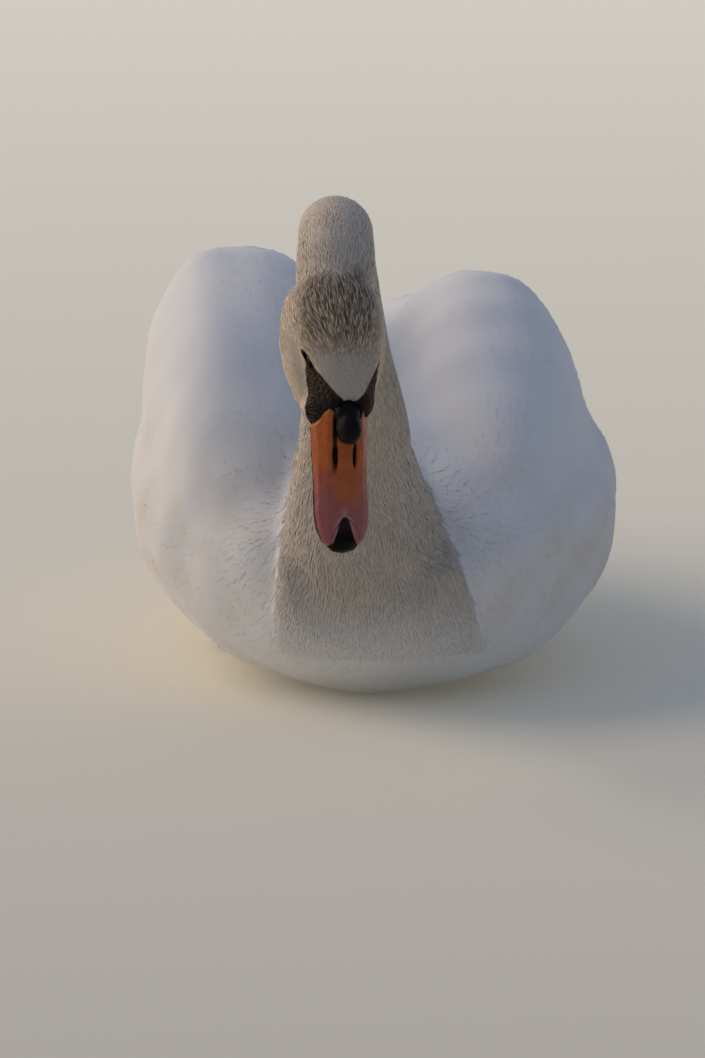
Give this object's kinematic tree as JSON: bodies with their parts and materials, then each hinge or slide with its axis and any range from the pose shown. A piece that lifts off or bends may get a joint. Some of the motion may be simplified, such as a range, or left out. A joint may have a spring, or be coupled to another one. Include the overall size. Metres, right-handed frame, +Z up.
{
  "type": "mute swan",
  "caption": "Life-size still model of an adult mute swan sitting with arched neck, lowered head, knobbed orange bill and half-raised wings.",
  "frame": {"origin": "on the floor at the middle of the bird's bounding box", "axes": "+Z up, -Y the way the bird faces, +X its left, +Y towards its tail"},
  "size_m": [0.34, 1.005, 0.3722],
  "materials": {
    "plumage": "soft white feathers",
    "neck_plumage": "soft white feathers stained buff",
    "foot_skin": "matt black scaly skin",
    "eye": "wet and glossy, very dark brown",
    "bill_black": "smooth satin black horn and skin",
    "bill_orange": "smooth satin orange horn"
  },
  "bodies": {
    "root": {"trunk": "plumage", "neck_1": "neck_plumage", "neck_2": "neck_plumage", "neck_3": "neck_plumage", "neck_4": "neck_plumage", "wing_right": "plumage", "primaries_right": "plumage", "leg_right": "foot_skin", "foot_right": "foot_skin", "eye_right": "eye", "wing_left": "plumage", "primaries_left": "plumage", "leg_left": "foot_skin", "foot_left": "foot_skin", "eye_left": "eye", "tail": "plumage", "head": "neck_plumage", "bill_knob": "bill_black", "bill_upper": "bill_orange", "bill_nail": "bill_black", "bill_lower": "bill_orange"}
  },
  "joints": []
}
